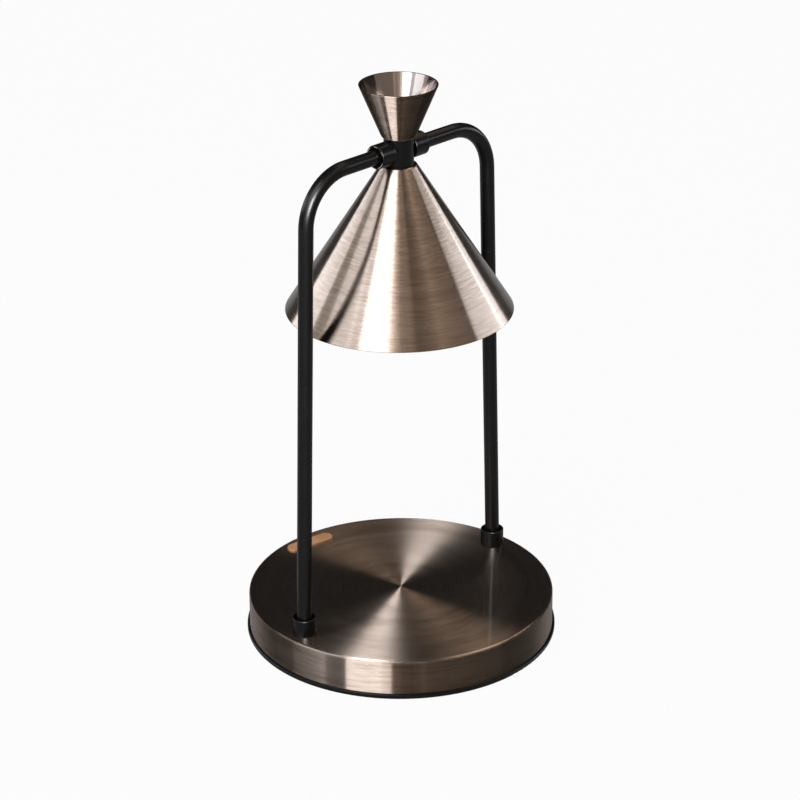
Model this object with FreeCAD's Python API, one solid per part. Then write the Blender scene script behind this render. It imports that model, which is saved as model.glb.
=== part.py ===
import FreeCAD, Part
import math
import os
from FreeCAD import Rotation, Vector

# Candle warmer lamp with a tilting double-cone head on a tube arch.
# Millimetres, +Z up. The origin is the centre of the underside, on the table.
# The arch stands in the XZ plane and the supply cord enters at +Y.

# ---- Fits and clearances ----
RUN_FIT = 0.05       # radial, between the hub bore and the tube ends that it turns on
THREAD_FIT = 0.05    # radial, between a thread and its nut or tapped hole
SLIDE_FIT = 0.1      # radial, between parts that are slid together and then locked
HOLE_PLAY = 0.2      # radial, plain holes round screws, posts and tubes
FACE_GAP = 0.25      # between flat faces that turn past each other
PIN_PLAY = 0.3       # round the lamp pins and the stop pin, over their whole travel
MIN_EDGE_R = 0.2     # the smallest rounding on a spun corner
NEAR = 1e-3          # an edge this close to a plane lies in it
SAME_POINT = 1e-6

# ---- Base ----
base_d = 170.0
shell_h = 19.8
shell_wall = 1.2
shell_edge_r = 1.5
pan_overhang = 1.4   # how far the pan's rim stands out past the shell
pan_floor = 2.0
pan_rim_h = 2.7
pan_edge_r = 0.7
pan_lip_w = 1.4
pan_lip_h = 2.4      # height of the centring lip above the rim
pad_inset = 10.4     # from the pan's rim to the pad's edge
pad_t = 1.0
pad_proud = 0.5      # how far the pad stands out below the pan
pad_hole_play = 0.6  # radial, round the heads of the pan screws
ballast_gap = 8.8    # between the ballast and the shell's wall
ballast_t = 8.0
ballast_edge = 1.0

# ---- Posts and screws that close the pan ----
post_count = 3
post_inset = 23.0    # from the shell's side to a post's axis
post_turn = 30.0     # degrees from +X to the first post
post_d = 9.0
post_foot_d = 6.0
post_tap_l = 10.0
pan_screw_d = 3.0
pan_screw_head_d = 5.6
pan_screw_head_h = 1.4
pan_screw_l = 8.0
drive_socket_d = 1.6
drive_socket_l = 1.0

# ---- Cord gland in the rear wall ----
gland_flange_d = 13.0
gland_flange_t = 1.3
gland_edge_r = 0.4
gland_neck_d = 10.0
gland_bore_d = 6.2
gland_drop = 9.0     # from the base top down to the gland's axis

# ---- Name plate, left bare ----
badge_l = 30.0
badge_w = 8.4
badge_t = 1.0
badge_edge = 0.3
badge_inset = 10.6   # from the shell's side to the plate's centreline
badge_turn = -7.0    # degrees, the plate sits a little askew

# ---- Arch ----
tube_d = 8.0
tube_wall = 1.0
leg_inset = 11.0     # from the shell's side to a leg's axis
leg_lean = 1.75      # degrees that each leg leans in towards the top
bend_r = 27.5
foot_bend_r = 60.0
arch_h = 258.8       # from the base top up to the cross bar's axis
tube_end_gap = 8.0   # between the two tube ends inside the hub
leg_tail = 7.0       # threaded leg end below the base top
leg_washer_d = 16.0
leg_washer_t = 1.2
leg_nut_af = 13.0
leg_nut_h = 4.0

# ---- Collars: two at the feet and two beside the hub ----
collar_d = 13.0
collar_l = 9.6
collar_edge_r = 0.5
collar_recess_d = 11.2
collar_recess_l = 3.0
grub_d = 3.0
grub_sink = 0.3      # how deep the grub screw's end lies under the collar's side

# ---- Hub ----
hub_d = 16.0
hub_h = 15.2
hub_edge = 0.4
hub_face_w = 14.0    # across the two spot faces
spot_face_d = 13.8
spigot_d = 10.0
spigot_l = 5.4
spigot_bore_d = 6.5
friction_washer_d = 12.0
friction_washer_t = 0.5
tilt_range = 45.0    # degrees each way
stop_pin_d = 1.2
stop_pin_l = 3.4
stop_pin_reach = 1.2 # how far the pin stands into the hub's groove
groove_floor = 0.3   # below the pin's end

# ---- Shade ----
shade_leg_gap = 3.6  # between the rim and each leg
shade_top_d = 19.0
shade_h = 81.7
shade_wall = 0.8
shade_shoulder_r = 1.3

# ---- Upper cone ----
cup_rim_d = 42.0
cup_foot_d = 18.2
cup_h = 28.4
cup_wall = 0.8
cup_floor = 1.0
cup_foot_r = 1.1
cone_screw_d = 4.0
cone_screw_head_d = 7.0
cone_screw_head_h = 2.2
cone_screw_l = 4.6

# ---- Lampholder and what carries it ----
ring_nut_af = 14.0
ring_nut_h = 3.0
bracket_t = 1.0
bracket_w = 8.0
bracket_plate_d = 16.8
bracket_foot_l = 7.2
holder_l = 30.0
holder_w = 17.0
holder_h = 16.0
holder_face_t = 3.0
holder_shade_gap = 1.6   # between the holder's ends and the shade's inside
holder_screw_pitch = 23.0
holder_screw_d = 3.0
holder_screw_head_d = 5.6
holder_screw_head_h = 2.2
holder_screw_sink = 0.6
pin_pitch = 10.0
pin_neck_d = 3.0
pin_head_d = 5.0
pin_head_h = 3.0
lock_turn = 30.0     # degrees from locked to free
contact_w = 3.2
contact_l = 3.6
contact_t = 0.4

# ---- Halogen reflector lamp ----
bulb_d = 50.8
bulb_h = 45.0
bulb_cap_d = 23.2
bulb_cap_h = 13.4
bulb_neck_d = 20.8
bulb_rim_h = 3.0
bulb_wall = 1.2
bulb_plug_h = 4.0
bulb_bulge = 2.6     # how far the reflector's side stands out from a straight cone
lens_t = 1.4
lens_seat_w = 0.9
capsule_d = 9.0
capsule_l = 18.0
capsule_shoulder_r = 1.5
capsule_tip_r = 3.6
capsule_stem_d = 4.8
capsule_stem_l = 8.0

# ---- Wiring ----
block_l = 22.0
block_h = 8.0
block_side = 1.6     # plastic outside each insert
block_rib = 0.6      # plastic between an insert and the fixing screw's well
block_leg_gap = 40.0 # from the block's middle to the right leg's axis
block_edge = 1.0
insert_d = 4.8
insert_bore_d = 2.8
insert_l = 18.0
clamp_screw_d = 2.6
clamp_screw_pitch = 9.0
block_screw_d = 3.0
block_screw_head_d = 4.6
block_screw_sink = 0.8
lead_d = 1.6
lead_pitch = 1.9     # between the two leads' axes inside the tubes
lead_entry = 5.0     # length of lead inside an insert
lead_foot_r = 5.5    # where a lead turns up into the leg
lead_side_r = 9.0
lead_hub_r = 2.8     # where a lead turns down into the spigot
lead_fan_r = 3.0
lead_end_r = 1.5     # where a lead turns into the lampholder
earth_x = -40.0
earth_stud_d = 4.0
earth_stud_l = 8.0
earth_nut_af = 7.0
earth_nut_h = 3.2
earth_tag_d = 8.0
earth_tag_t = 0.8
earth_tag_tail_l = 9.0
earth_tag_tail_w = 4.0

# ---- Places worked out from the sizes above ----
base_r = base_d / 2
pan_r = base_r + pan_overhang
shell_in_r = base_r - shell_wall
pan_z = pad_proud
floor_z = pan_z + pan_floor
rim_z = pan_z + pan_rim_h
base_top_z = rim_z + shell_h
ceiling_z = base_top_z - shell_wall
pad_r = pan_r - pad_inset
ballast_r = shell_in_r - ballast_gap
ballast_top_z = floor_z + ballast_t
post_ring_r = base_r - post_inset
gland_z = base_top_z - gland_drop

tube_r = tube_d / 2
foot_x = base_r - leg_inset
bar_z = base_top_z + arch_h
leg_end_z = base_top_z - leg_tail
foot_bend_z = base_top_z + collar_l - collar_edge_r
tube_end_x = tube_end_gap / 2

hub_top_z = bar_z + hub_h / 2
hub_bottom_z = bar_z - hub_h / 2
hub_face_x = hub_face_w / 2
collar_near_x = hub_face_x + FACE_GAP
washer_collar_x = collar_near_x + friction_washer_t
stop_pin_ring_r = collar_d / 2 - collar_edge_r - FACE_GAP - stop_pin_d / 2
stop_groove_r = stop_pin_d / 2 + PIN_PLAY / 2

shade_top_z = hub_bottom_z
shade_rim_z = shade_top_z - shade_h
leg_lean_at_rim = (shade_rim_z - foot_bend_z) * math.tan(math.radians(leg_lean))
shade_rim_r = foot_x - leg_lean_at_rim - tube_r - shade_leg_gap
shade_slope = (shade_rim_r - shade_top_d / 2) / shade_h
shade_wall_x = shade_wall * math.sqrt(1 + shade_slope ** 2)
shade_in_top_z = shade_top_z - shade_wall
shade_in_top_r = shade_top_d / 2 + shade_wall * shade_slope - shade_wall_x

cup_slope = (cup_rim_d - cup_foot_d) / 2 / cup_h
cup_wall_x = cup_wall * math.sqrt(1 + cup_slope ** 2)
cup_rim_z = hub_top_z + cup_h

holder_top_z = shade_in_top_z - (holder_l / 2 + holder_shade_gap - shade_in_top_r) / shade_slope
holder_face_z = holder_top_z - holder_h
holder_floor_z = holder_face_z + holder_face_t
bulb_top_z = holder_face_z - PIN_PLAY
pin_head_z = holder_floor_z + PIN_PLAY
contact_z = pin_head_z + pin_head_h + PIN_PLAY
contact_h = 3 * contact_t
holder_roof_z = contact_z + contact_h
bracket_foot_z = holder_top_z + bracket_t
bracket_leg_x = bracket_plate_d / 2 - bracket_t
bulb_bottom_z = bulb_top_z - bulb_h
bulb_cap_z = bulb_top_z - bulb_cap_h
pole_z = ballast_top_z + block_h / 2
block_x = foot_x - block_leg_gap
block_pole_pitch = block_screw_head_d + insert_d + 2 * (HOLE_PLAY + SLIDE_FIT + block_rib)
block_w = block_pole_pitch + insert_d + 2 * block_side
lead_low_z = ballast_top_z + lead_d


# ---- Building blocks ----
def rounded_wire(corners, closed):
    """A wire through corners given as (point, radius), with a tangent arc at each radius above 0."""
    last = len(corners) - 1
    stops = []
    for index, (corner, radius) in enumerate(corners):
        if radius <= 0 or (not closed and index in (0, last)):
            stops.append((corner, None, corner))
            continue
        back = (corners[index - 1][0] - corner).normalize()
        ahead = (corners[(index + 1) % len(corners)][0] - corner).normalize()
        half = back.getAngle(ahead) / 2
        inward = (back + ahead).normalize()
        middle = corner + inward * (radius / math.sin(half) - radius)
        reach = radius / math.tan(half)
        stops.append((corner + back * reach, middle, corner + ahead * reach))
    edges = []
    for index, (start, middle, end) in enumerate(stops):
        if middle is not None:
            edges.append(Part.Arc(start, middle, end).toShape())
        if index < last or closed:
            following = stops[(index + 1) % len(stops)][0]
            if end.distanceToPoint(following) > SAME_POINT:
                edges.append(Part.LineSegment(end, following).toShape())
    return Part.Wire(edges)


def turned(outline):
    """A solid turned about Z from corners given as (radius, z) or (radius, z, corner radius)."""
    corners = [(Vector(c[0], 0, c[1]), c[2] if len(c) > 2 else 0) for c in outline]
    face = Part.Face(rounded_wire(corners, True))
    return face.revolve(Vector(0, 0, 0), Vector(0, 0, 1), 360)


def disc(diameter, z, thickness, x=0, y=0):
    return Part.makeCylinder(diameter / 2, thickness, Vector(x, y, z))


def ring(outer_d, inner_d, z, thickness, x=0, y=0):
    return disc(outer_d, z, thickness, x, y).cut(disc(inner_d, z, thickness, x, y))


def box(x_low, x_high, y_low, y_high, z_low, z_high):
    corner = Vector(x_low, y_low, z_low)
    return Part.makeBox(x_high - x_low, y_high - y_low, z_high - z_low, corner)


def hexagon(across_flats, z, height, x=0, y=0):
    """A hexagonal prism with two of its flats facing +X and -X."""
    corner_r = across_flats / math.sqrt(3)
    points = []
    for side in range(7):
        angle = math.radians(30 + 60 * side)
        points.append(Vector(x + corner_r * math.cos(angle), y + corner_r * math.sin(angle), z))
    return Part.Face(Part.makePolygon(points)).extrude(Vector(0, 0, height))


def hex_nut(across_flats, hole_d, z, height, x=0):
    """A hexagonal nut with its corners turned off at both ends."""
    nut = hexagon(across_flats, z, height, x)
    corner_r = across_flats / math.sqrt(3)
    trim = (corner_r - across_flats / 2) / 2
    blank = turned([(0, z), (corner_r - trim, z), (corner_r, z + trim), (corner_r, z + height - trim),
                    (corner_r - trim, z + height), (0, z + height)])
    blank.translate(Vector(x, 0, 0))
    return nut.common(blank).cut(disc(hole_d, z, height, x))


def stadium(length, width, z, height):
    """A block along X with full round ends."""
    middle = (length - width) / 2
    block = box(-middle, middle, -width / 2, width / 2, z, z + height)
    ends = [disc(width, z, height, x) for x in (-middle, middle)]
    return block.multiFuse(ends).removeSplitter()


def swept(corners, diameter):
    """A round rod along the rounded path through corners given as (point, radius)."""
    path = rounded_wire(corners, False)
    start = corners[0][0]
    heading = corners[1][0] - start
    section = Part.Face(Part.Wire(Part.Circle(start, heading, diameter / 2).toShape()))
    return path.makePipe(section)


def arc_slot(ring_r, half_width, first_deg, last_deg, z, height):
    """The space swept by a pin that turns about Z at ring_r from one angle to the other."""
    outer = Part.makeCylinder(ring_r + half_width, height, Vector(0, 0, z), Vector(0, 0, 1),
                              last_deg - first_deg)
    sector = outer.cut(disc(2 * (ring_r - half_width), z, height))
    sector.rotate(Vector(0, 0, 0), Vector(0, 0, 1), first_deg)
    ends = []
    for angle in (math.radians(first_deg), math.radians(last_deg)):
        ends.append(disc(2 * half_width, z, height, ring_r * math.cos(angle), ring_r * math.sin(angle)))
    return sector.multiFuse(ends)


def mirrored(shape):
    return shape.mirror(Vector(0, 0, 0), Vector(1, 0, 0))


def screw_socket(z, depth, x=0, y=0):
    """The hexagonal drive recess of a small screw, from z upwards."""
    return hexagon(drive_socket_d, z, depth, x, y)


# ---- Base ----
def post_places():
    places = []
    for index in range(post_count):
        angle = math.radians(post_turn + 360 * index / post_count)
        places.append((post_ring_r * math.cos(angle), post_ring_r * math.sin(angle)))
    return places


def gland_axis_rod(diameter, y_low, y_high):
    return Part.makeCylinder(diameter / 2, y_high - y_low, Vector(0, y_low, gland_z), Vector(0, 1, 0))


def make_base_shell():
    shell = turned([
        (0, base_top_z), (base_r, base_top_z, shell_edge_r), (base_r, rim_z),
        (shell_in_r, rim_z), (shell_in_r, ceiling_z, max(shell_edge_r - shell_wall, MIN_EDGE_R)),
        (0, ceiling_z)])
    leg_hole_d = tube_d + 2 * HOLE_PLAY
    holes = [disc(leg_hole_d, ceiling_z, shell_wall, x) for x in (-foot_x, foot_x)]
    holes.append(gland_axis_rod(gland_neck_d + 2 * SLIDE_FIT, 0, base_d))
    return shell.cut(holes)


def make_bottom_pan():
    lip_out_r = shell_in_r - SLIDE_FIT
    lip_z = rim_z + pan_lip_h
    pad_seat_z = pad_t
    pad_seat_r = pad_r + HOLE_PLAY
    pan = turned([
        (0, pad_seat_z), (pad_seat_r, pad_seat_z), (pad_seat_r, pan_z),
        (pan_r, pan_z, pan_edge_r), (pan_r, rim_z, pan_edge_r),
        (lip_out_r, rim_z), (lip_out_r, lip_z),
        (lip_out_r - pan_lip_w, lip_z), (lip_out_r - pan_lip_w, floor_z), (0, floor_z)])
    cuts = [pan_screw_space(x, y) for x, y in post_places()]
    cuts.append(gland_axis_rod(gland_flange_d + 2 * HOLE_PLAY, 0, base_d))
    return pan.cut(cuts)


def pan_screw_space(x, y):
    head_r = pan_screw_head_d / 2 + HOLE_PLAY
    hole_r = pan_screw_d / 2 + HOLE_PLAY
    space = turned([
        (0, 0), (head_r, 0), (head_r, pad_t), (hole_r, pad_t + pan_screw_head_h), (hole_r, floor_z),
        (0, floor_z)])
    space.translate(Vector(x, y, 0))
    return space


def make_pan_screws():
    screws = []
    head_r = pan_screw_head_d / 2
    shank_r = pan_screw_d / 2
    for x, y in post_places():
        screw = turned([
            (0, pad_t), (head_r, pad_t), (shank_r, pad_t + pan_screw_head_h),
            (shank_r, pad_t + pan_screw_l), (0, pad_t + pan_screw_l)])
        screw = screw.cut(screw_socket(pad_t, drive_socket_l))
        screw.translate(Vector(x, y, 0))
        screws.append(screw)
    return screws


def make_pan_posts():
    posts = []
    for x, y in post_places():
        post = turned([
            (0, floor_z), (post_foot_d / 2, floor_z), (post_foot_d / 2, ballast_top_z),
            (post_d / 2, ballast_top_z), (post_d / 2, ceiling_z), (0, ceiling_z)])
        post = post.cut(disc(pan_screw_d + 2 * THREAD_FIT, floor_z, post_tap_l))
        post.translate(Vector(x, y, 0))
        posts.append(post)
    return posts


def make_base_pad():
    pad = disc(2 * pad_r, 0, pad_t)
    holes = [disc(pan_screw_head_d + 2 * pad_hole_play, 0, pad_t, x, y) for x, y in post_places()]
    return pad.cut(holes)


def make_ballast_plate():
    inner_r = ballast_r - ballast_edge
    plate = turned([
        (0, floor_z), (inner_r, floor_z), (ballast_r, floor_z + ballast_edge),
        (ballast_r, ballast_top_z - ballast_edge), (inner_r, ballast_top_z), (0, ballast_top_z)])
    holes = [disc(post_foot_d + 2 * HOLE_PLAY, floor_z, ballast_t, x, y) for x, y in post_places()]
    holes.append(disc(block_screw_d + 2 * THREAD_FIT, floor_z, ballast_t, block_x))
    return plate.cut(holes)


def make_cord_gland():
    """A rubber grommet, with a flange each side of the shell's curved wall."""
    shell_space = ring(base_d, 2 * shell_in_r, rim_z, shell_h)
    outer_face_y = base_r + gland_flange_t
    inner_face_y = shell_in_r - gland_flange_t
    blank = gland_axis_rod(gland_flange_d, inner_face_y, outer_face_y)
    flanges = blank.cut(shell_space)
    flange_edges = [edge for edge in flanges.Edges
                    if abs(edge.CenterOfMass.y - outer_face_y) < NEAR and edge.Closed]
    flanges = flanges.makeFillet(gland_edge_r, flange_edges)
    neck = gland_axis_rod(gland_neck_d, inner_face_y, outer_face_y - gland_flange_t / 2)
    bore = gland_axis_rod(gland_bore_d, inner_face_y, outer_face_y)
    return flanges.fuse(neck).cut(bore).removeSplitter()


def make_badge_plate():
    plate = stadium(badge_l, badge_w, base_top_z, badge_t)
    top_edges = [edge for edge in plate.Edges
                 if abs(edge.CenterOfMass.z - base_top_z - badge_t) < NEAR]
    plate = plate.makeFillet(badge_edge, top_edges)
    plate.rotate(Vector(0, 0, 0), Vector(0, 0, 1), badge_turn)
    plate.translate(Vector(0, base_r - badge_inset, 0))
    return plate


# ---- Arch ----
def arch_corners(start_z, end_x, y):
    """The right leg's axis, or a lead's axis beside it, up the leg and in along the cross bar."""
    bend_x = foot_x - (bar_z - foot_bend_z) * math.tan(math.radians(leg_lean))
    return [
        (Vector(foot_x, y, start_z), 0),
        (Vector(foot_x, y, foot_bend_z), foot_bend_r),
        (Vector(bend_x, y, bar_z), bend_r),
        (Vector(end_x, y, bar_z), 0)]


def make_leg_tube():
    corners = arch_corners(leg_end_z, tube_end_x, 0)
    return swept(corners, tube_d).cut(swept(corners, tube_d - 2 * tube_wall))


def make_leg_washers():
    return [ring(leg_washer_d, tube_d + 2 * HOLE_PLAY, ceiling_z - leg_washer_t, leg_washer_t, x)
            for x in (-foot_x, foot_x)]


def make_leg_nuts():
    nut_z = ceiling_z - leg_washer_t - leg_nut_h
    return [hex_nut(leg_nut_af, tube_d + 2 * THREAD_FIT, nut_z, leg_nut_h, x)
            for x in (-foot_x, foot_x)]


def grub_place_z():
    """Height of the grub screw above a collar's closed end."""
    return (collar_l - collar_recess_l) / 2


def make_collar():
    """A sleeve standing on its closed end, with a recess round the tube at its top."""
    outer = collar_d / 2
    bore = tube_r + SLIDE_FIT
    recess = collar_recess_d / 2
    collar = turned([
        (bore, 0), (outer, 0, collar_edge_r), (outer, collar_l, collar_edge_r),
        (recess, collar_l), (recess, collar_l - collar_recess_l), (bore, collar_l - collar_recess_l)])
    tap = Part.makeCylinder(grub_d / 2 + THREAD_FIT, collar_d, Vector(0, 0, grub_place_z()),
                            Vector(0, 1, 0))
    return collar.cut(tap)


def make_grub_screw():
    """The screw of a collar that stands on its closed end, pressing on the tube from +Y."""
    length = collar_d / 2 - grub_sink - tube_r
    screw = Part.makeCylinder(grub_d / 2, length, Vector(0, tube_r, grub_place_z()), Vector(0, 1, 0))
    socket = screw_socket(0, drive_socket_l)
    socket.rotate(Vector(0, 0, 0), Vector(1, 0, 0), 90)
    socket.translate(Vector(0, tube_r + length, grub_place_z()))
    return screw.cut(socket)


def at_foot(shape, side):
    placed = shape.copy()
    placed.translate(Vector(side * foot_x, 0, base_top_z))
    return placed


def beside_hub(shape, side, distance):
    """Lays a part that stands on Z along the cross bar, its foot at this distance from the middle."""
    placed = shape.copy()
    placed.rotate(Vector(0, 0, 0), Vector(0, 1, 0), side * 90)
    placed.translate(Vector(side * distance, 0, bar_z))
    return placed


def make_stop_pin(extra_r=0, extra_l=0):
    start = Vector(hub_face_x - stop_pin_reach, 0, bar_z + stop_pin_ring_r)
    return Part.makeCylinder(stop_pin_d / 2 + extra_r, stop_pin_l + extra_l, start, Vector(1, 0, 0))


def make_right_hub_collar():
    return beside_hub(make_collar(), 1, collar_near_x).cut(make_stop_pin(SLIDE_FIT / 2, HOLE_PLAY))


def make_friction_washer():
    washer = ring(friction_washer_d, tube_d + 2 * SLIDE_FIT, 0, friction_washer_t)
    return beside_hub(washer, -1, collar_near_x)


def make_grub_screws():
    screw = make_grub_screw()
    return [at_foot(screw, -1), at_foot(screw, 1), beside_hub(screw, -1, washer_collar_x),
            beside_hub(screw, 1, collar_near_x)]


# ---- Head ----
def bar_rod(diameter, x_low, x_high):
    return Part.makeCylinder(diameter / 2, x_high - x_low, Vector(x_low, 0, bar_z), Vector(1, 0, 0))


def make_hub():
    body_r = hub_d / 2
    spigot_r = spigot_d / 2
    body = turned([
        (0, hub_top_z), (body_r - hub_edge, hub_top_z), (body_r, hub_top_z - hub_edge),
        (body_r, hub_bottom_z + hub_edge), (body_r - hub_edge, hub_bottom_z),
        (spigot_r, hub_bottom_z), (spigot_r, hub_bottom_z - spigot_l), (0, hub_bottom_z - spigot_l)])
    lead_way = disc(spigot_bore_d, hub_bottom_z - spigot_l, bar_z - hub_bottom_z + spigot_l)
    cone_tap = disc(cone_screw_d + 2 * THREAD_FIT, bar_z, hub_top_z - bar_z)
    cross_bore = bar_rod(tube_d + 2 * RUN_FIT, -body_r, body_r)
    spot_faces = [bar_rod(spot_face_d, hub_face_x, hub_d), bar_rod(spot_face_d, -hub_d, -hub_face_x)]
    groove_l = stop_pin_reach + groove_floor
    groove = arc_slot(stop_pin_ring_r, stop_groove_r, 180 - tilt_range, 180 + tilt_range, 0, groove_l)
    groove = beside_hub(groove, 1, hub_face_x - groove_l)
    return body.cut([lead_way, cone_tap, cross_bore, groove] + spot_faces)


def make_upper_cone():
    foot_r = cup_foot_d / 2
    rim_r = cup_rim_d / 2
    floor_top_z = hub_top_z + cup_floor
    floor_r = foot_r + cup_floor * cup_slope - cup_wall_x
    hole_r = cone_screw_d / 2 + HOLE_PLAY
    return turned([
        (hole_r, hub_top_z), (foot_r, hub_top_z, cup_foot_r), (rim_r, cup_rim_z, cup_wall / 4),
        (rim_r - cup_wall_x, cup_rim_z, cup_wall / 4), (floor_r, floor_top_z, cup_foot_r),
        (hole_r, floor_top_z)])


def make_cone_screw():
    head_z = hub_top_z + cup_floor
    head_r = cone_screw_head_d / 2
    shank_r = cone_screw_d / 2
    tip_z = head_z - cone_screw_l
    screw = turned([
        (0, tip_z), (shank_r, tip_z), (shank_r, head_z), (head_r, head_z),
        (head_r, head_z + cone_screw_head_h, cone_screw_head_h / 2), (0, head_z + cone_screw_head_h)])
    return screw.cut(screw_socket(head_z + cone_screw_head_h - drive_socket_l, drive_socket_l))


def make_shade():
    top_r = shade_top_d / 2
    rim_in_r = shade_rim_r - shade_wall_x
    hole_r = spigot_d / 2 + SLIDE_FIT
    inner_shoulder_r = max(shade_shoulder_r - shade_wall, MIN_EDGE_R)
    return turned([
        (hole_r, shade_top_z), (top_r, shade_top_z, shade_shoulder_r),
        (shade_rim_r, shade_rim_z, shade_wall / 4), (rim_in_r, shade_rim_z, shade_wall / 4),
        (shade_in_top_r, shade_in_top_z, inner_shoulder_r), (hole_r, shade_in_top_z)])


def make_holder_bracket():
    """A stamped strap: a round plate on the spigot, two legs down, and feet turned outwards."""
    plate_z = shade_in_top_z - bracket_t
    half_w = bracket_w / 2
    bracket = disc(bracket_plate_d, plate_z, bracket_t)
    for side in (-1, 1):
        leg_x = sorted((side * bracket_leg_x, side * (bracket_leg_x + bracket_t)))
        foot_x_range = sorted((side * bracket_leg_x, side * (bracket_leg_x + bracket_foot_l)))
        leg = box(leg_x[0], leg_x[1], -half_w, half_w, holder_top_z, plate_z)
        foot = box(foot_x_range[0], foot_x_range[1], -half_w, half_w, holder_top_z, bracket_foot_z)
        corner = box(leg_x[0], leg_x[1], -half_w, half_w, plate_z, shade_in_top_z)
        bracket = bracket.multiFuse([leg, foot, corner.common(disc(bracket_plate_d, plate_z, bracket_t))])
        bracket = bracket.cut(disc(holder_screw_d + 2 * THREAD_FIT, holder_top_z, bracket_t,
                                   side * holder_screw_pitch / 2))
    return bracket.cut(disc(spigot_d + 2 * SLIDE_FIT, plate_z, bracket_t)).removeSplitter()


def make_ring_nut():
    nut_z = shade_in_top_z - bracket_t - ring_nut_h
    return hex_nut(ring_nut_af, spigot_d + 2 * THREAD_FIT, nut_z, ring_nut_h)


def pin_slots(half_width, entry_half_width, z, height):
    """Both arc slots of the twist lock, with a wider entry at the end where the pins come in."""
    slots = []
    for locked in (0, 180):
        slots.append(arc_slot(pin_pitch / 2, half_width, locked - lock_turn, locked, z, height))
        angle = math.radians(locked - lock_turn)
        slots.append(disc(2 * entry_half_width, z, height,
                          pin_pitch / 2 * math.cos(angle), pin_pitch / 2 * math.sin(angle)))
    return slots


def make_lampholder():
    body = stadium(holder_l, holder_w, holder_face_z, holder_h)
    head_space = pin_head_d / 2 + PIN_PLAY
    neck_space = pin_neck_d / 2 + PIN_PLAY
    cuts = pin_slots(neck_space, head_space, holder_face_z, holder_face_t)
    cuts += pin_slots(head_space, head_space, holder_floor_z, holder_roof_z - holder_floor_z)
    for side in (-1, 1):
        screw_x = side * holder_screw_pitch / 2
        cuts.append(disc(holder_screw_d + 2 * HOLE_PLAY, holder_face_z, holder_h, screw_x))
        cuts.append(disc(holder_screw_head_d + 2 * HOLE_PLAY, holder_face_z,
                         holder_screw_head_h + holder_screw_sink, screw_x))
        cuts.append(disc(lead_d + 2 * HOLE_PLAY, holder_roof_z, holder_top_z - holder_roof_z,
                         side * pin_pitch / 2))
    return body.cut(cuts)


def make_holder_screws():
    screws = []
    head_z = holder_face_z + holder_screw_sink
    seat_z = head_z + holder_screw_head_h
    for side in (-1, 1):
        head = disc(holder_screw_head_d, head_z, holder_screw_head_h)
        shank = disc(holder_screw_d, seat_z, bracket_foot_z + bracket_t - seat_z)
        screw = head.fuse(shank).cut(screw_socket(head_z, drive_socket_l)).removeSplitter()
        screw.translate(Vector(side * holder_screw_pitch / 2, 0, 0))
        screws.append(screw)
    return screws


def make_contact_springs():
    """Folded strips over the pin heads, each bearing on the holder's roof."""
    springs = []
    fold = contact_t / 3
    for side in (-1, 1):
        low_x = side * pin_pitch / 2 - contact_l / 2
        block = box(low_x, low_x + contact_l, -contact_w / 2, contact_w / 2, contact_z, holder_roof_z)
        slit = box(low_x + contact_t, low_x + 2 * contact_l, -contact_w, contact_w,
                   contact_z + contact_t, holder_roof_z - contact_t)
        spring = block.cut(slit)
        fold_edges = [edge for edge in spring.Edges
                      if abs(edge.CenterOfMass.x - low_x) < NEAR and abs(edge.CenterOfMass.y) < NEAR]
        springs.append(spring.makeFillet(fold, fold_edges))
    return springs


# ---- Lamp ----
def make_bulb_base():
    cap_r = bulb_cap_d / 2
    plug_r = bulb_neck_d / 2 - bulb_wall - SLIDE_FIT
    plug_z = bulb_cap_z - bulb_plug_h
    base = turned([
        (0, bulb_top_z), (cap_r, bulb_top_z, bulb_wall), (cap_r, bulb_cap_z), (plug_r, bulb_cap_z),
        (plug_r, plug_z), (0, plug_z)])
    stem_hole = disc(capsule_stem_d + 2 * SLIDE_FIT, plug_z, capsule_stem_l)
    return base.cut(stem_hole)


def make_bulb_pins():
    pins = []
    for side in (-1, 1):
        neck = disc(pin_neck_d, bulb_top_z, pin_head_z - bulb_top_z, side * pin_pitch / 2)
        head = disc(pin_head_d, pin_head_z, pin_head_h, side * pin_pitch / 2)
        pins.append(neck.fuse(head).removeSplitter())
    return pins


def reflector_curve(inset):
    """Half outline of the reflector from neck to rim, moved in by inset."""
    neck = Vector(bulb_neck_d / 2 - inset, 0, bulb_cap_z)
    rim = Vector(bulb_d / 2 - lens_seat_w / 2 - inset, 0, bulb_bottom_z + bulb_rim_h)
    across = Vector(neck.z - rim.z, 0, rim.x - neck.x).normalize()
    return Part.Arc(neck, (neck + rim) * 0.5 + across * bulb_bulge, rim).toShape(), neck, rim


def make_bulb_reflector():
    outer, outer_neck, outer_rim = reflector_curve(0)
    inner, inner_neck, inner_rim = reflector_curve(bulb_wall)
    seat_r = bulb_d / 2 - lens_seat_w
    seat_z = bulb_bottom_z + lens_t
    rest = [outer_rim, Vector(bulb_d / 2, 0, outer_rim.z), Vector(bulb_d / 2, 0, bulb_bottom_z),
            Vector(seat_r, 0, bulb_bottom_z), Vector(seat_r, 0, seat_z),
            Vector(inner_rim.x - lens_seat_w / 2, 0, seat_z),
            Vector(inner_rim.x - lens_seat_w / 2, 0, inner_rim.z), inner_rim]
    edges = [outer, inner, Part.LineSegment(inner_neck, outer_neck).toShape()]
    for start, end in zip(rest, rest[1:]):
        edges.append(Part.LineSegment(start, end).toShape())
    face = Part.Face(Part.Wire(Part.__sortEdges__(edges)))
    return face.revolve(Vector(0, 0, 0), Vector(0, 0, 1), 360)


def make_bulb_lens():
    return disc(bulb_d - 2 * lens_seat_w - 2 * SLIDE_FIT, bulb_bottom_z, lens_t)


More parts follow.
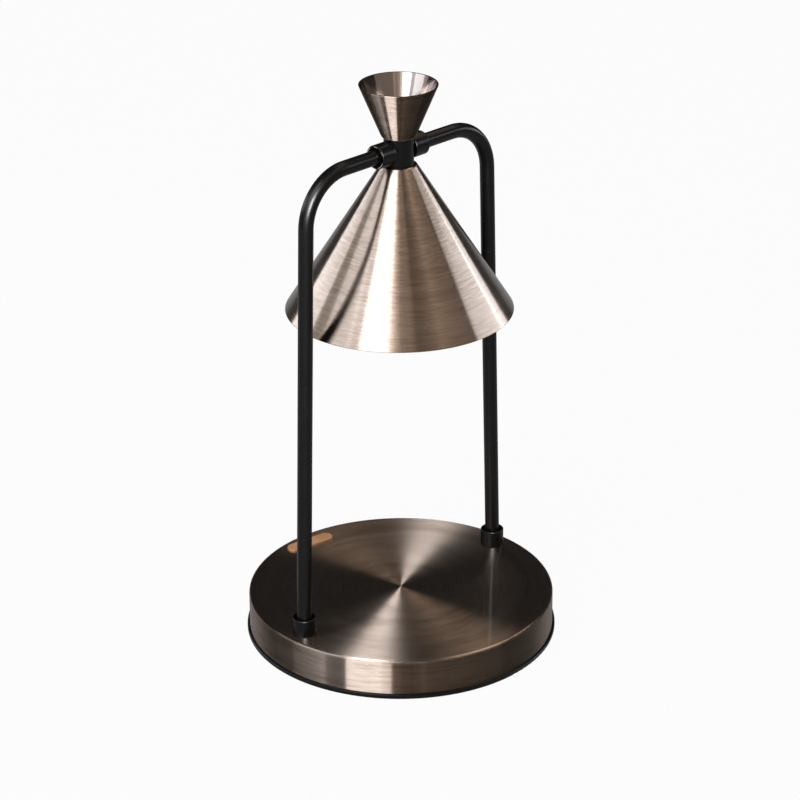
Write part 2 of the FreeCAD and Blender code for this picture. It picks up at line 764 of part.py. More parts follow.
def make_bulb_capsule():
    body_r = capsule_d / 2
    stem_r = capsule_stem_d / 2
    top_z = bulb_cap_z - bulb_plug_h + capsule_stem_l
    body_z = top_z - capsule_stem_l
    return turned([
        (0, top_z), (stem_r, top_z), (stem_r, body_z), (body_r, body_z, capsule_shoulder_r),
        (body_r, body_z - capsule_l, capsule_tip_r), (0, body_z - capsule_l)])


# ---- Wiring ----
def make_terminal_block():
    half_l = block_l / 2
    half_w = block_w / 2
    block = box(block_x - half_l, block_x + half_l, -half_w, half_w, ballast_top_z,
                ballast_top_z + block_h)
    top_edges = [edge for edge in block.Edges
                 if abs(edge.CenterOfMass.z - ballast_top_z - block_h) < NEAR]
    block = block.makeFillet(block_edge, top_edges)
    cuts = [disc(block_screw_d + 2 * HOLE_PLAY, ballast_top_z, block_h, block_x),
            disc(block_screw_head_d + 2 * HOLE_PLAY, ballast_top_z + block_h / 2, block_h, block_x)]
    for y in pole_places():
        cuts.append(Part.makeCylinder(insert_d / 2 + SLIDE_FIT, block_l,
                                      Vector(block_x - half_l, y, pole_z), Vector(1, 0, 0)))
        for x in clamp_places():
            cuts.append(disc(clamp_screw_d + 2 * HOLE_PLAY, pole_z, block_h, x, y))
    return block.cut(cuts)


def pole_places():
    return (-block_pole_pitch / 2, block_pole_pitch / 2)


def clamp_places():
    return (block_x - clamp_screw_pitch / 2, block_x + clamp_screw_pitch / 2)


def make_terminal_inserts():
    inserts = []
    for y in pole_places():
        start = Vector(block_x - insert_l / 2, y, pole_z)
        barrel = Part.makeCylinder(insert_d / 2, insert_l, start, Vector(1, 0, 0))
        bore = Part.makeCylinder(insert_bore_d / 2, insert_l, start, Vector(1, 0, 0))
        taps = [disc(clamp_screw_d + 2 * THREAD_FIT, pole_z, block_h, x, y) for x in clamp_places()]
        inserts.append(barrel.cut([bore] + taps))
    return inserts


def make_terminal_screws():
    """Four clamp screws in the inserts, and the screw that holds the block on the ballast."""
    screws = []
    clamp_low_z = pole_z + lead_d / 2
    clamp_top_z = ballast_top_z + block_h - block_screw_sink
    for x in clamp_places():
        for y in pole_places():
            screw = disc(clamp_screw_d, clamp_low_z, clamp_top_z - clamp_low_z, x, y)
            screws.append(screw.cut(screw_socket(clamp_top_z - drive_socket_l, drive_socket_l, x, y)))
    head_z = ballast_top_z + block_h / 2
    head_h = block_h / 2 - block_screw_sink
    fixing = disc(block_screw_d, floor_z + HOLE_PLAY, head_z - floor_z - HOLE_PLAY, block_x)
    fixing = fixing.fuse(disc(block_screw_head_d, head_z, head_h, block_x))
    fixing = fixing.cut(screw_socket(head_z + head_h - drive_socket_l, drive_socket_l, block_x))
    screws.append(fixing.removeSplitter())
    return screws


def make_riser_leads():
    """Two leads from the block, up the right leg and along the bar to its open end in the hub."""
    leads = []
    block_end_x = block_x + insert_l / 2
    turn_x = block_end_x + (foot_x - block_end_x) / 4
    leg_side_x = foot_x - 2 * lead_foot_r
    for side in (-1, 1):
        pole_y = side * block_pole_pitch / 2
        tube_y = side * lead_pitch / 2
        corners = [
            (Vector(block_end_x - lead_entry, pole_y, pole_z), 0),
            (Vector(turn_x, pole_y, pole_z), lead_side_r),
            (Vector(leg_side_x, tube_y, lead_low_z), lead_side_r),
            (Vector(foot_x, tube_y, lead_low_z), lead_foot_r)]
        corners += arch_corners(leg_end_z, tube_end_x, tube_y)[1:]
        leads.append(swept(corners, lead_d))
    return leads


def make_head_leads():
    """The head's own ends of the two leads, from the bar down to the holder's contacts."""
    leads = []
    spigot_end_z = hub_bottom_z - spigot_l
    fan_z = (spigot_end_z + holder_top_z) / 2 + lead_fan_r
    for side in (-1, 1):
        tube_y = side * lead_pitch / 2
        pin_x = side * pin_pitch / 2
        corners = [
            (Vector(tube_end_x - FACE_GAP, tube_y, bar_z), 0),
            (Vector(0, tube_y, bar_z), lead_hub_r),
            (Vector(0, tube_y, fan_z), lead_fan_r),
            (Vector(pin_x, 0, holder_top_z), lead_end_r),
            (Vector(pin_x, 0, holder_roof_z), 0)]
        leads.append(swept(corners, lead_d))
    return leads


def make_earth_stud():
    return disc(earth_stud_d, ceiling_z - earth_stud_l, earth_stud_l, earth_x)


def make_earth_tag():
    hole = disc(earth_stud_d + 2 * SLIDE_FIT, ceiling_z - earth_tag_t, earth_tag_t, earth_x)
    eye = disc(earth_tag_d, ceiling_z - earth_tag_t, earth_tag_t, earth_x)
    half_w = earth_tag_tail_w / 2
    tail = box(earth_x - half_w, earth_x + half_w, 0, earth_tag_tail_l, ceiling_z - earth_tag_t,
               ceiling_z)
    return eye.fuse(tail).cut(hole).removeSplitter()


def make_earth_nut():
    nut_z = ceiling_z - earth_tag_t - earth_nut_h
    return hex_nut(earth_nut_af, earth_stud_d + 2 * THREAD_FIT, nut_z, earth_nut_h, earth_x)


# ---- The assembly ----
def all_nodes():
    leg_tube = make_leg_tube()
    collar = make_collar()
    return {
        "base_shell": make_base_shell(),
        "bottom_pan": make_bottom_pan(),
        "base_pad": make_base_pad(),
        "ballast_plate": make_ballast_plate(),
        "pan_posts": make_pan_posts(),
        "pan_screws": make_pan_screws(),
        "cord_gland": make_cord_gland(),
        "badge_plate": make_badge_plate(),
        "left_leg_tube": mirrored(leg_tube),
        "right_leg_tube": leg_tube,
        "left_foot_collar": at_foot(collar, -1),
        "right_foot_collar": at_foot(collar, 1),
        "leg_washers": make_leg_washers(),
        "leg_nuts": make_leg_nuts(),
        "left_hub_collar": beside_hub(collar, -1, washer_collar_x),
        "right_hub_collar": make_right_hub_collar(),
        "friction_washer": make_friction_washer(),
        "stop_pin": make_stop_pin(),
        "collar_grub_screws": make_grub_screws(),
        "terminal_block": make_terminal_block(),
        "terminal_inserts": make_terminal_inserts(),
        "terminal_screws": make_terminal_screws(),
        "riser_leads": make_riser_leads(),
        "earth_stud": make_earth_stud(),
        "earth_tag": make_earth_tag(),
        "earth_nut": make_earth_nut(),
        "hub": make_hub(),
        "upper_cone": make_upper_cone(),
        "cone_screw": make_cone_screw(),
        "shade": make_shade(),
        "holder_bracket": make_holder_bracket(),
        "ring_nut": make_ring_nut(),
        "lampholder": make_lampholder(),
        "holder_screws": make_holder_screws(),
        "contact_springs": make_contact_springs(),
        "head_leads": make_head_leads(),
        "bulb_base": make_bulb_base(),
        "bulb_pins": make_bulb_pins(),
        "bulb_reflector": make_bulb_reflector(),
        "bulb_lens": make_bulb_lens(),
        "bulb_capsule": make_bulb_capsule()}


os.makedirs("parts", exist_ok=True)
for node, solids in all_nodes().items():
    shape = Part.makeCompound(solids) if isinstance(solids, list) else solids
    shape.exportStep("parts/" + node + ".step")
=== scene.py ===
"""Candle warmer lamp: finishes, fine parts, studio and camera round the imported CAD, in metres."""
import math

import bpy
from mathutils import Matrix, Quaternion, Vector


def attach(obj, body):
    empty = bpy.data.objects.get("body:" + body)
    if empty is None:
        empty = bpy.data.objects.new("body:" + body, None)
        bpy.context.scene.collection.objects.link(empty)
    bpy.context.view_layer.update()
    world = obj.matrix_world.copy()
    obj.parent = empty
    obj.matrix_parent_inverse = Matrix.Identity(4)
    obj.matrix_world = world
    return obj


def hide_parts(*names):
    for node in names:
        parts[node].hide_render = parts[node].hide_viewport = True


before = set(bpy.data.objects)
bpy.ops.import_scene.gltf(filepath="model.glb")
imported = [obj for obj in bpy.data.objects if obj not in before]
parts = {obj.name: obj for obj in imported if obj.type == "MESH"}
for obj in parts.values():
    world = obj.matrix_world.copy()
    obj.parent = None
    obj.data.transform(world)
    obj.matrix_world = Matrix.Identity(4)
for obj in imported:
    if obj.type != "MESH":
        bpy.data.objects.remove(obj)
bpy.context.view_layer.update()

scene = bpy.context.scene


# ---- Camera ----
CAMERA_PLACE = Vector((-1.0020, -1.0137, 0.79185))
CAMERA_AIM_HEIGHT = 0.1377
CAMERA_ROLL = math.radians(-0.29)
LENS_MM = 129.74
SENSOR_MM = 36.0
CLIP_NEAR, CLIP_FAR = 0.05, 50.0


def make_camera():
    """A long lens that looks down at the lamp's axis from its front left."""
    data = bpy.data.cameras.new("studio_camera")
    data.lens = LENS_MM
    data.sensor_width = SENSOR_MM
    data.clip_start = CLIP_NEAR
    data.clip_end = CLIP_FAR
    camera = bpy.data.objects.new("studio_camera", data)
    scene.collection.objects.link(camera)
    forward = (Vector((0, 0, CAMERA_AIM_HEIGHT)) - CAMERA_PLACE).normalized()
    level = forward.cross(Vector((0, 0, 1))).normalized()
    upright = level.cross(forward)
    across = math.cos(CAMERA_ROLL) * level + math.sin(CAMERA_ROLL) * upright
    up = math.cos(CAMERA_ROLL) * upright - math.sin(CAMERA_ROLL) * level
    turn = Matrix((across, up, -forward)).transposed().to_4x4()
    camera.matrix_world = Matrix.Translation(CAMERA_PLACE) @ turn
    scene.camera = camera


# ---- Node helpers ----
# Between these a noise has most of its values.
NOISE_SPAN = (0.2, 0.8)
# The place of a Mix node's first input and of its output, for each type of value.
MIX_PLACES = {"FLOAT": (2, 0), "VECTOR": (4, 1), "RGBA": (6, 2)}


def fill(tree, made, inputs):
    """Links or sets each input of a node, by name or place."""
    for key, value in inputs.items():
        if isinstance(value, bpy.types.NodeSocket):
            tree.links.new(value, made.inputs[key])
        else:
            made.inputs[key].default_value = value


def add(tree, kind, inputs=None, **settings):
    """A new node with its settings and inputs."""
    made = tree.nodes.new(kind)
    for name, value in settings.items():
        setattr(made, name, value)
    fill(tree, made, inputs or {})
    return made


def reckon(tree, operation, first, second=0.0, third=0.0):
    """The result of one Math node."""
    values = {0: first, 1: second, 2: third}
    return add(tree, "ShaderNodeMath", values, operation=operation).outputs[0]


def times(tree, first, second):
    """The product of two values."""
    return reckon(tree, "MULTIPLY", first, second)


def reckon_vector(tree, operation, *vectors, result=0):
    """The result of one Vector Math node, by place or name."""
    values = dict(enumerate(vectors))
    return add(tree, "ShaderNodeVectorMath", values, operation=operation).outputs[result]


def ramp(tree, value, low, high, to_low=0.0, to_high=1.0):
    """Value as it goes smoothly from low to high, spread over to_low to to_high."""
    made = add(tree, "ShaderNodeMapRange", {
        "Value": value, "From Min": low, "From Max": high, "To Min": to_low, "To Max": to_high},
        interpolation_type="SMOOTHSTEP")
    return made.outputs["Result"]


def uneven(tree, noise, value, spread, span=NOISE_SPAN):
    """The value, less this share of itself where the noise is low, and more where it is high."""
    return ramp(tree, noise, *span, value * (1 - spread), value * (1 + spread))


def mix(tree, share, first, second, data_type="RGBA"):
    """The first value where share is 0 and the second where it is 1, as colours by default."""
    place, result = MIX_PLACES[data_type]
    values = {"Factor": share, place: first, place + 1: second}
    return add(tree, "ShaderNodeMix", values, data_type=data_type).outputs[result]


def relief(tree, height, depth):
    """The normal of a relief of this depth in metres."""
    return add(tree, "ShaderNodeBump", {"Height": height, "Distance": depth}).outputs[0]


def new_group(name, inputs, outputs, kind="ShaderNodeTree"):
    """A node group with named sockets; inputs are (name, type, value)."""
    tree = bpy.data.node_groups.new(name, kind)
    for label, socket_type, value in inputs:
        made = tree.interface.new_socket(name=label, in_out="INPUT", socket_type=socket_type)
        if value is not None:
            made.default_value = value
    for label, socket_type in outputs:
        tree.interface.new_socket(name=label, in_out="OUTPUT", socket_type=socket_type)
    return tree, add(tree, "NodeGroupInput").outputs, add(tree, "NodeGroupOutput").inputs


def grouped(tree, group, **inputs):
    """A shader group in a material; underscores in the input names stand for spaces."""
    made = add(tree, "ShaderNodeGroup", node_tree=group)
    fill(tree, made, {name.replace("_", " "): value for name, value in inputs.items()})
    return made.outputs


# ---- Effects that several finishes share ----
FLOAT, VECTOR = "NodeSocketFloat", "NodeSocketVector"
# Each layer of brushing: its output, its share of the line density and of the breaks, its detail.
BRUSHING_LAYERS = (("Lines", 1.0, 1.0, 3.0), ("Bands", 0.12, 0.08, 2.0))
BRUSHING_NOISE_ROUGHNESS = 0.6
# Each layer of grain: its output, its share of the grain density, its detail.
GRAIN_LAYERS = (("Grain", 1.0, 2.0), ("Unevenness", 0.03, 3.0))
# The share of a speck's size, and of the width of a lip painted in bare metal as a highlight, that
# is covered in full.
SPECK_CORE_SHARE, LIP_HIGHLIGHT_CORE_SHARE = 0.5, 0.4
# How finely the painted lip highlight breaks into patches of bare metal.
HIGHLIGHT_PATCHES_PER_METRE = 380.0
# A face looks inwards where its normal points outwards by less than this.
LOOKS_INWARD = -0.1
# How far the normal rises where a plate ends and where a wall begins.
PLATE_RISE, WALL_RISE = 0.35, 0.1


def make_round_place():
    """Radius, height and outward direction round the Z axis."""
    tree, into, out = new_group("round_place", [("Vector", VECTOR, None)],
                                [("Radius", FLOAT), ("Height", FLOAT), ("Outward", VECTOR)])
    split = add(tree, "ShaderNodeSeparateXYZ", {0: into["Vector"]}).outputs
    level = add(tree, "ShaderNodeCombineXYZ", {0: split[0], 1: split[1]}).outputs[0]
    tree.links.new(reckon_vector(tree, "LENGTH", level, result="Value"), out["Radius"])
    tree.links.new(split[2], out["Height"])
    tree.links.new(reckon_vector(tree, "NORMALIZE", level), out["Outward"])
    return tree


def make_spun_brushing():
    """Brush lines that run in circles round Z: fine scratches, and broader bands of tone."""
    tree, into, out = new_group(
        "spun_brushing",
        [("Vector", VECTOR, None), ("Lines per Metre", FLOAT, 1300.0), ("Break-up", FLOAT, 4.5)],
        [("Lines", FLOAT), ("Bands", FLOAT)])
    place = grouped(tree, ROUND_PLACE, Vector=into["Vector"])
    turn = add(tree, "ShaderNodeSeparateXYZ", {0: place["Outward"]}).outputs
    for label, density, break_share, detail in BRUSHING_LAYERS:
        scale = times(tree, into["Lines per Metre"], density)
        breaks = times(tree, into["Break-up"], break_share)
        spot = add(tree, "ShaderNodeCombineXYZ", {
            0: times(tree, place["Radius"], scale),
            1: times(tree, place["Height"], scale),
            2: times(tree, turn[0], breaks)})
        noise = add(tree, "ShaderNodeTexNoise", {
            "Vector": spot.outputs[0], "W": times(tree, turn[1], breaks), "Scale": 1.0,
            "Detail": detail, "Roughness": BRUSHING_NOISE_ROUGHNESS}, noise_dimensions="4D")
        tree.links.new(noise.outputs["Fac"], out[label])
    return tree


def make_dust_specks():
    """A mask of small scattered dust specks."""
    tree, into, out = new_group(
        "dust_specks",
        [("Vector", VECTOR, None), ("Specks per Metre", FLOAT, 350.0), ("Share", FLOAT, 0.06),
         ("Size", FLOAT, 0.09)], [("Mask", FLOAT)])
    cells = add(tree, "ShaderNodeTexVoronoi",
                {"Vector": into["Vector"], "Scale": into["Specks per Metre"]}).outputs
    chance = add(tree, "ShaderNodeSeparateColor", {0: cells["Color"]}).outputs[0]
    picked = reckon(tree, "LESS_THAN", chance, into["Share"])
    core = times(tree, into["Size"], SPECK_CORE_SHARE)
    speck = ramp(tree, cells["Distance"], into["Size"], core)
    tree.links.new(times(tree, picked, speck), out["Mask"])
    return tree


def make_surface_grain():
    """A fine grain and a slow unevenness, as in paint, castings and mouldings."""
    tree, into, out = new_group(
        "surface_grain", [("Vector", VECTOR, None), ("Grains per Metre", FLOAT, 1800.0)],
        [("Grain", FLOAT), ("Unevenness", FLOAT)])
    for label, density, detail in GRAIN_LAYERS:
        scale = times(tree, into["Grains per Metre"], density)
        noise = add(tree, "ShaderNodeTexNoise", {
            "Vector": into["Vector"], "Scale": scale, "Detail": detail})
        tree.links.new(noise.outputs["Fac"], out[label])
    return tree


def make_inner_side():
    """A mask of the faces that look in towards the Z axis."""
    tree, into, out = new_group("inner_side", [("Vector", VECTOR, None), ("Normal", VECTOR, None)],
                                [("Mask", FLOAT)])
    place = grouped(tree, ROUND_PLACE, Vector=into["Vector"])
    facing = reckon_vector(tree, "DOT_PRODUCT", place["Outward"], into["Normal"], result="Value")
    tree.links.new(reckon(tree, "LESS_THAN", facing, LOOKS_INWARD), out["Mask"])
    return tree


def make_upward_cut():
    """Leans the normal of walls upwards, as the turning marks of a slanted tool do."""
    tree, into, out = new_group(
        "upward_cut",
        [("Normal", VECTOR, None), ("Surface Normal", VECTOR, None), ("Lean", FLOAT, 0.3)],
        [("Normal", VECTOR), ("Wall", FLOAT)])
    rise = add(tree, "ShaderNodeSeparateXYZ", {0: into["Surface Normal"]}).outputs[2]
    wall = ramp(tree, rise, PLATE_RISE, WALL_RISE)
    lift = add(tree, "ShaderNodeCombineXYZ", {2: times(tree, wall, into["Lean"])}).outputs[0]
    leaned = reckon_vector(tree, "ADD", into["Normal"], lift)
    tree.links.new(reckon_vector(tree, "NORMALIZE", leaned), out["Normal"])
    tree.links.new(wall, out["Wall"])
    return tree


def make_pillow_facets():
    """The relief of small facets in rings round the Z axis, as pressed into a reflector."""
    tree, into, out = new_group(
        "pillow_facets",
        [("Vector", VECTOR, None), ("Facets per Ring", FLOAT, 36.0), ("Ring Pitch", FLOAT, 0.0024)],
        [("Height", FLOAT)])
    split = add(tree, "ShaderNodeSeparateXYZ", {0: into["Vector"]}).outputs
    turns = reckon(tree, "DIVIDE", reckon(tree, "ARCTAN2", split[1], split[0]), 2 * math.pi)
    bulges = []
    for count in (times(tree, turns, into["Facets per Ring"]),
                  reckon(tree, "DIVIDE", split[2], into["Ring Pitch"])):
        off_middle = reckon(tree, "SUBTRACT", reckon(tree, "FRACT", count), 0.5)
        bulges.append(reckon(tree, "POWER", reckon(tree, "ABSOLUTE", off_middle), 2.0))
    tree.links.new(reckon(tree, "SUBTRACT", 0.5, reckon(tree, "ADD", *bulges)), out["Height"])
    return tree


def make_painted_lip_highlight():
    """A broken mask round one circle, where a lip is painted in bare metal as its highlight; Axis
    is the circle's axis.
    """
    tree, into, out = new_group(
        "painted_lip_highlight",
        [("Vector", VECTOR, None), ("Centre", VECTOR, None), ("Axis", VECTOR, None),
         ("Radius", FLOAT, 0.006), ("Width", FLOAT, 0.0005), ("Bare Share", FLOAT, 0.5)],
        [("Mask", FLOAT)])
    axis, width = into["Axis"], into["Width"]
    away = reckon_vector(tree, "SUBTRACT", into["Vector"], into["Centre"])
    along = reckon_vector(tree, "DOT_PRODUCT", away, axis, result="Value")
    shift = add(tree, "ShaderNodeVectorMath", {0: axis, "Scale": along}, operation="SCALE")
    across = reckon_vector(tree, "SUBTRACT", away, shift.outputs[0])
    radius = reckon_vector(tree, "LENGTH", across, result="Value")
    off = reckon(tree, "ABSOLUTE", reckon(tree, "SUBTRACT", radius, into["Radius"]))
    distance = reckon(tree, "MAXIMUM", off, reckon(tree, "ABSOLUTE", along))
    near = ramp(tree, distance, width, times(tree, width, LIP_HIGHLIGHT_CORE_SHARE))
    patches = add(tree, "ShaderNodeTexNoise", {
        "Vector": into["Vector"], "Scale": HIGHLIGHT_PATCHES_PER_METRE, "Detail": 4.0})
    bare = reckon(tree, "LESS_THAN", patches.outputs["Fac"], into["Bare Share"])
    tree.links.new(times(tree, near, bare), out["Mask"])
    return tree


ROUND_PLACE = make_round_place()
SPUN_BRUSHING = make_spun_brushing()
DUST_SPECKS = make_dust_specks()
SURFACE_GRAIN = make_surface_grain()
INNER_SIDE = make_inner_side()
UPWARD_CUT = make_upward_cut()
PILLOW_FACETS = make_pillow_facets()
PAINTED_LIP_HIGHLIGHT = make_painted_lip_highlight()


# ---- Finishes ----
BRONZE = (0.350, 0.276, 0.222, 1.0)
BRONZE_DEEP = (0.262, 0.198, 0.152, 1.0)
POLISHED_NICKEL = (0.400, 0.345, 0.315, 1.0)
BLACK = (0.0038, 0.0035, 0.0031, 1.0)
BLACK_DEEP = (0.00285, 0.002625, 0.002325, 1.0)
# Bare metal, painted on a collar's lip as a highlight on its edge.
BARE_METAL_HIGHLIGHT = (0.62, 0.58, 0.54, 1.0)
MIRROR_COAT = (0.88, 0.88, 0.89, 1.0)
MIRROR_COAT_DEEP = (0.80, 0.81, 0.84, 1.0)
GLASS = (0.99, 0.99, 0.98, 1.0)
GLASS_DEEP = (0.95, 0.97, 0.97, 1.0)
DUST = (0.75, 0.72, 0.68, 1.0)
# How much of the finish below it a speck of dust hides.
DUST_COVER_METAL, DUST_COVER_PAINT, DUST_COVER_STOCK = 0.6, 0.25, 0.2
TONE_SPAN = (0.3, 0.7)
ACROSS_THE_LINES = 0.25
WEAR_FROM_LINES, WEAR_FROM_BANDS, WORN_SPAN = 0.9, 0.5, (0.5, 0.85)
BRUSHING_SPREAD, PAINT_SPREAD, STOCK_SPREAD = 0.06, 0.08, 0.15
LACQUER, LACQUER_ROUGHNESS = 0.5, 0.07
PAINT_SPECULAR, PAINT_SPAN = 0.22, (0.25, 0.75)
MIRROR_BACK_ROUGHNESS, MIRROR_FACE_ROUGHNESS = 0.22, 0.07
MIRROR_GRAIN_SHARE, FACET_DEPTH = 0.01, 4e-4
GLASS_IOR, GLASS_ROUGHNESS = 1.47, (0.01, 0.04)


def new_finish(name, **uniform):
    """A material, its tree, its Principled shader with uniform values, and the coordinates."""
    material = bpy.data.materials.new(name)
    material.use_nodes = True
    tree = material.node_tree
    shader = tree.nodes["Principled BSDF"]
    for label, value in uniform.items():
        shader.inputs[label.replace("_", " ")].default_value = value
    return material, tree, shader, add(tree, "ShaderNodeTexCoord").outputs


def dusted(tree, where, tone, cover, **dust):
    """The tone with specks of dust on it."""
    specks = grouped(tree, DUST_SPECKS, Vector=where, **dust)
    return mix(tree, times(tree, specks["Mask"], cover), tone, DUST)


def spun_bronze(name, outer, inner, wall, line_depth, lines, stretch, lean=0.0):
    """Bronze-tinted nickel, spun and brushed in circles, so that its highlights open into fans.

    Outer, inner and wall are the roughness outside, inside and on upright walls outside; stretch
    is how far the highlights open across the lines; lean tips the walls' turning marks upwards.
    """
    material, tree, shader, spot = new_finish(
        name, Metallic=1.0, Anisotropic=stretch, Anisotropic_Rotation=ACROSS_THE_LINES,
        Coat_Roughness=LACQUER_ROUGHNESS)
    where, facing = spot["Object"], spot["Normal"]
    brushing = grouped(tree, SPUN_BRUSHING, Vector=where, Lines_per_Metre=lines)
    inside = grouped(tree, INNER_SIDE, Vector=where, Normal=facing)["Mask"]
    worn = reckon(tree, "MULTIPLY_ADD", brushing["Lines"], WEAR_FROM_LINES,
                  times(tree, brushing["Bands"], WEAR_FROM_BANDS))
    tone = mix(tree, ramp(tree, worn, *WORN_SPAN), BRONZE_DEEP, BRONZE)
    lined = mix(tree, inside, tone, POLISHED_NICKEL)
    brushed = relief(tree, brushing["Lines"], line_depth)
    cut = grouped(tree, UPWARD_CUT, Normal=brushed, Surface_Normal=facing, Lean=lean)
    outside = ramp(tree, cut["Wall"], 0.0, 1.0, outer, wall)
    rough = mix(tree, inside, outside, inner, "FLOAT")
    fill(tree, shader, {
        "Base Color": dusted(tree, where, lined, DUST_COVER_METAL),
        "Roughness": times(tree, rough, uneven(tree, brushing["Bands"], 1.0, BRUSHING_SPREAD)),
        "Normal": mix(tree, inside, cut["Normal"], brushed, "VECTOR"),
        "Tangent": add(tree, "ShaderNodeTangent", direction_type="RADIAL", axis="Z").outputs[0],
        "Coat Weight": ramp(tree, cut["Wall"], 0.0, 1.0, LACQUER, 0.0)})
    return material


def black_paint(name, roughness, grains, depth, lip=None):
    """Satin powder coat with a fine peel, a trace of dust and perhaps a lip painted in bare metal
    as a highlight.
    """
    material, tree, shader, spot = new_finish(name, Specular_IOR_Level=PAINT_SPECULAR)
    where = spot["Object"]
    grain = grouped(tree, SURFACE_GRAIN, Vector=where, Grains_per_Metre=grains)
    tone = dusted(tree, where, mix(tree, grain["Unevenness"], BLACK_DEEP, BLACK),
                  DUST_COVER_PAINT, Specks_per_Metre=500.0, Share=0.04)
    # Painted highlight: a broken ring of bare metal on the lip.
    if lip:
        bare = grouped(tree, PAINTED_LIP_HIGHLIGHT, Vector=where, **lip)["Mask"]
        tone = mix(tree, bare, tone, BARE_METAL_HIGHLIGHT)
        fill(tree, shader, {"Metallic": bare})
    fill(tree, shader, {
        "Base Color": tone,
        "Roughness": uneven(tree, grain["Unevenness"], roughness, PAINT_SPREAD, PAINT_SPAN),
        "Normal": relief(tree, grain["Grain"], depth)})
    return material


def grained(name, light, dark, roughness, grains, depth, metallic=0.0, dust=DUST_COVER_STOCK):
    """A plain stock material: two close tones, a grain in relief, uneven gloss and some dust."""
    material, tree, shader, spot = new_finish(name, Metallic=metallic)
    where = spot["Object"]
    grain = grouped(tree, SURFACE_GRAIN, Vector=where, Grains_per_Metre=grains)
    tone = mix(tree, ramp(tree, grain["Unevenness"], *TONE_SPAN), dark + (1,), light + (1,))
    fill(tree, shader, {
        "Base Color": dusted(tree, where, tone, dust, Specks_per_Metre=600.0, Share=0.05),
        "Roughness": uneven(tree, grain["Unevenness"], roughness, STOCK_SPREAD),
        "Normal": relief(tree, grain["Grain"], depth)})
    return material


def faceted_mirror():
    """Aluminised glass of a reflector, pressed in facets on its inner side and plain outside."""
    material, tree, shader, spot = new_finish("faceted_mirror", Metallic=1.0)
    where = spot["Object"]
    facets = grouped(tree, PILLOW_FACETS, Vector=where)["Height"]
    grain = grouped(tree, SURFACE_GRAIN, Vector=where, Grains_per_Metre=1200.0)
    inside = grouped(tree, INNER_SIDE, Vector=where, Normal=spot["Normal"])["Mask"]
    height = reckon(tree, "MULTIPLY_ADD", facets, inside,
                    times(tree, grain["Grain"], MIRROR_GRAIN_SHARE))
    fill(tree, shader, {
        "Base Color": mix(tree, ramp(tree, grain["Unevenness"], *TONE_SPAN),
                          MIRROR_COAT_DEEP, MIRROR_COAT),
        "Roughness": ramp(tree, inside, 0.0, 1.0, MIRROR_BACK_ROUGHNESS, MIRROR_FACE_ROUGHNESS),
        "Normal": relief(tree, height, FACET_DEPTH)})
    return material


def clear_glass(name, waves_per_metre, wave_height):
    """Clear pressed glass with a slight waviness and a faint tint that varies."""
    material, tree, shader, spot = new_finish(name, Transmission_Weight=1.0, IOR=GLASS_IOR)
    waves = add(tree, "ShaderNodeTexNoise",
                {"Vector": spot["Object"], "Scale": waves_per_metre, "Detail": 1.0}).outputs["Fac"]
    fill(tree, shader, {
        "Base Color": mix(tree, waves, GLASS_DEEP, GLASS),
        "Roughness": ramp(tree, waves, *NOISE_SPAN, *GLASS_ROUGHNESS),
        "Normal": relief(tree, waves, wave_height)})
    return material


def paint(material, *names):
    """Gives CAD nodes this finish."""
    for name in names:
        for place in parts[name].material_slots:
            place.material = material


paint(spun_bronze("brushed_bronze_base", outer=0.25, inner=0.4, wall=0.17, line_depth=3e-6,
                  lines=800.0, stretch=1.0, lean=0.5), "base_shell")
paint(spun_bronze("brushed_bronze_shade", outer=0.25, inner=0.34, wall=0.25, line_depth=1e-6,
                  lines=1300.0, stretch=0.88), "shade")
paint(spun_bronze("brushed_bronze_cup", outer=0.3, inner=0.14, wall=0.18, line_depth=1e-6,
                  lines=1300.0, stretch=0.9, lean=0.68), "upper_cone")
POWDER_COAT = {"roughness": 0.29, "grains": 1800.0, "depth": 2.5e-6}
# The left hub collar's outer lip gets bare metal painted on as the highlight on its edge; the other
# collars don't.
HUB_COLLAR_LIP_HIGHLIGHT = {"Centre": (-0.01735, 0.0, 0.2818), "Axis": (-1.0, 0.0, 0.0), "Radius": 0.0058,
                  "Width": 0.0003, "Bare_Share": 0.46}
paint(black_paint("black_powder_coat", **POWDER_COAT),
      "left_leg_tube", "right_leg_tube", "left_foot_collar", "right_foot_collar",
      "right_hub_collar", "hub")
paint(black_paint("black_powder_coat_lip_highlight", lip=HUB_COLLAR_LIP_HIGHLIGHT, **POWDER_COAT), "left_hub_collar")
paint(black_paint("black_pan_paint", roughness=0.3, grains=1500.0, depth=6e-6), "bottom_pan")
paint(grained("rubber", light=(0.026, 0.025, 0.024), dark=(0.018, 0.017, 0.017),
              roughness=0.75, grains=1400.0, depth=2e-5), "base_pad", "cord_gland")
paint(grained("cast_iron", light=(0.16, 0.155, 0.15), dark=(0.10, 0.095, 0.09),
              roughness=0.6, grains=700.0, depth=8e-5, metallic=0.8), "ballast_plate")
paint(grained("zinc_plating", light=(0.66, 0.67, 0.70), dark=(0.55, 0.54, 0.50),
              roughness=0.3, grains=2500.0, depth=4e-6, metallic=1.0),
      "pan_posts", "pan_screws", "leg_washers", "leg_nuts", "stop_pin", "terminal_screws",
      "earth_stud", "earth_nut", "cone_screw", "holder_bracket", "holder_screws", "bulb_pins")
paint(grained("black_oxide", light=(0.05, 0.05, 0.052), dark=(0.03, 0.03, 0.032),
              roughness=0.35, grains=2500.0, depth=4e-6, metallic=1.0), "collar_grub_screws")
paint(grained("copper_badge", light=(0.60, 0.33, 0.17), dark=(0.46, 0.23, 0.11),
              roughness=0.4, grains=1600.0, depth=1.5e-5, metallic=0.65), "badge_plate")
paint(grained("brass", light=(0.72, 0.53, 0.24), dark=(0.55, 0.38, 0.15),
              roughness=0.3, grains=2000.0, depth=6e-6, metallic=1.0),
      "terminal_inserts", "earth_tag", "ring_nut", "contact_springs")
